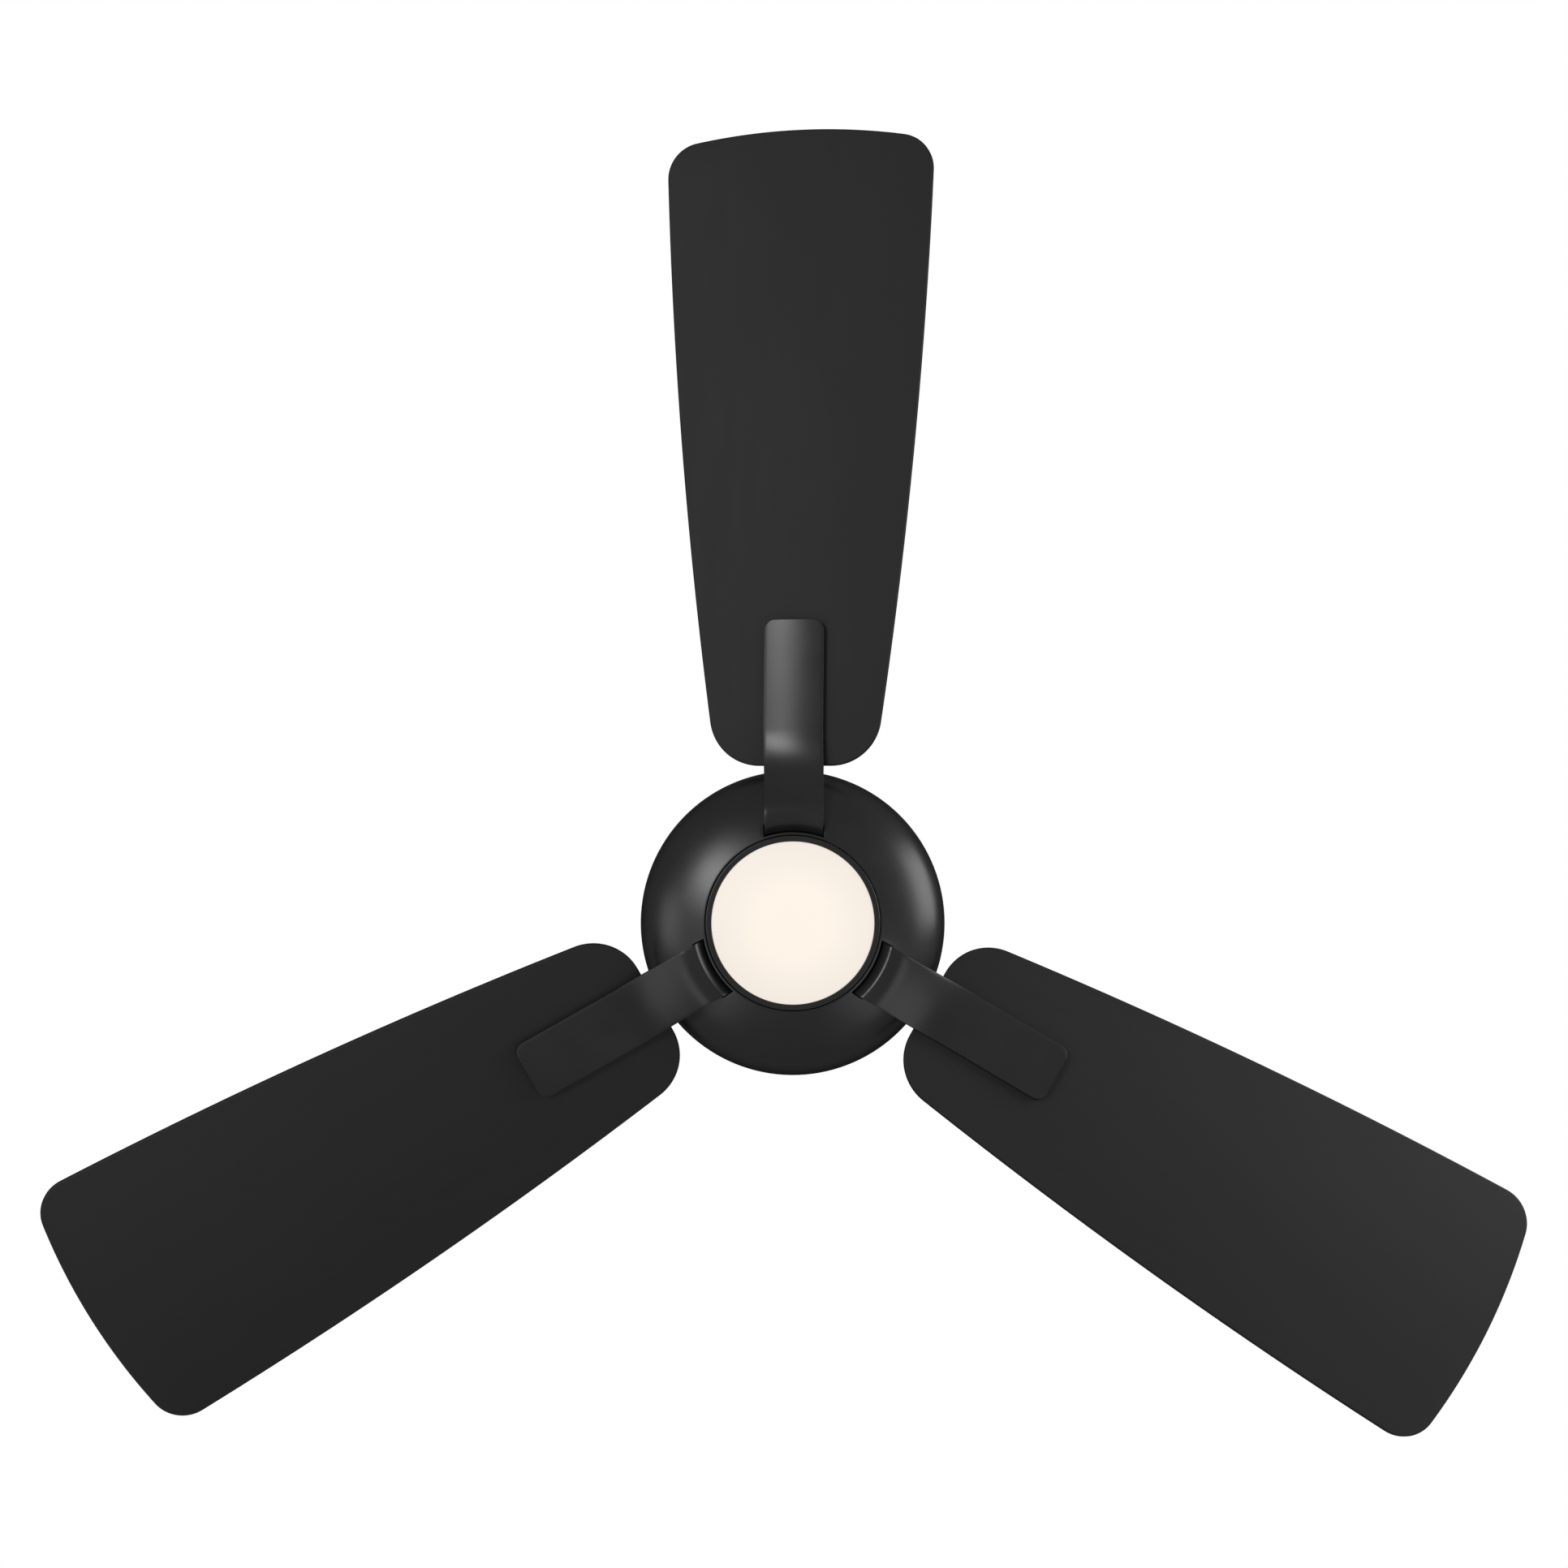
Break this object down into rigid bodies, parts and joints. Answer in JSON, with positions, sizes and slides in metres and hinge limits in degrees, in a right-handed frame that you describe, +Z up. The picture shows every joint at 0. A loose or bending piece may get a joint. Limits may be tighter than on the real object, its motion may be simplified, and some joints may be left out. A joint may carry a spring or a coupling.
{
  "type": "ceiling fan with light",
  "caption": "Black ceiling fan with broad pitched blades on strap arms that leave slots in a shallow bowl, and a round opal light in its centre, hung on a downrod.",
  "frame": {"origin": "centre of the hanger bracket's top face, where it lies against the ceiling", "axes": "+Z up, into the ceiling, along the spin axis; +Y along the first blade; +X across, along the bracket"},
  "size_m": [1.2198, 1.0719, 0.3458],
  "materials": {
    "black_satin": "satin black paint",
    "blade_black": "matt black lacquer over plywood",
    "zinc": "zinc plated",
    "dark_steel": "dark phosphated",
    "cast_aluminium": "as cast",
    "bearing_steel": "ground and polished",
    "copper": "enamelled copper wire",
    "ferrite": "sintered, dull",
    "black_plastic": "matt",
    "white_plastic": "matt",
    "white_paint": "matt white paint",
    "opal": "opal, lit from inside, warm white"
  },
  "bodies": {
    "ceiling_mount": {"hanger_bracket": "zinc", "canopy": "black_satin", "canopy_screw_1": "black_satin", "canopy_screw_2": "black_satin", "receiver_module": "black_plastic"},
    "hanging_frame": {"hanger_ball": "dark_steel", "ball_pin": "zinc", "ball_set_screw": "dark_steel", "downrod": "black_satin", "wire_harness": "black_plastic", "motor_coupling": "dark_steel", "clevis_pin": "zinc", "hairpin_clip": "zinc", "coupling_screw_1": "dark_steel", "coupling_screw_2": "dark_steel", "coupling_cover": "black_satin", "motor_housing": "black_satin", "housing_lock_nut": "zinc", "motor_shaft": "bearing_steel", "stator_core": "dark_steel", "stator_winding": "copper", "bearing_upper_inner": "bearing_steel", "bearing_lower_inner": "bearing_steel", "light_pan": "white_paint", "shaft_nut": "zinc", "led_driver": "white_plastic", "led_board": "white_paint", "light_trim_ring": "black_satin", "lens": "opal"},
    "rotor": {"rotor_case": "cast_aluminium", "rotor_base": "cast_aluminium", "magnet_ring": "ferrite", "bearing_upper_outer": "bearing_steel", "bearing_lower_outer": "bearing_steel", "bowl": "black_satin", "bowl_screw_1": "zinc", "bowl_screw_2": "zinc", "bowl_screw_3": "zinc", "blade_arm_1": "black_satin", "blade_arm_2": "black_satin", "blade_arm_3": "black_satin", "arm_screw_1": "zinc", "arm_screw_2": "zinc", "arm_screw_3": "zinc", "arm_screw_4": "zinc", "arm_screw_5": "zinc", "arm_screw_6": "zinc", "blade_1": "blade_black", "blade_2": "blade_black", "blade_3": "blade_black", "blade_screw_1": "black_satin", "blade_screw_2": "black_satin", "blade_screw_3": "black_satin", "blade_screw_4": "black_satin", "blade_screw_5": "black_satin", "blade_screw_6": "black_satin", "blade_screw_7": "black_satin", "blade_screw_8": "black_satin", "blade_screw_9": "black_satin"}
  },
  "joints": [
    {"name": "hanger_tilt", "type": "hinge", "parent": "ceiling_mount", "child": "hanging_frame", "pos_m": [0, 0, -0.04], "axis": [0, 1, 0], "range_deg": [-15, 15]},
    {"name": "rotor_spin", "type": "hinge", "parent": "hanging_frame", "child": "rotor", "pos_m": [0, 0, -0.2935], "axis": [0, 0, 1], "continuous": true}
  ]
}
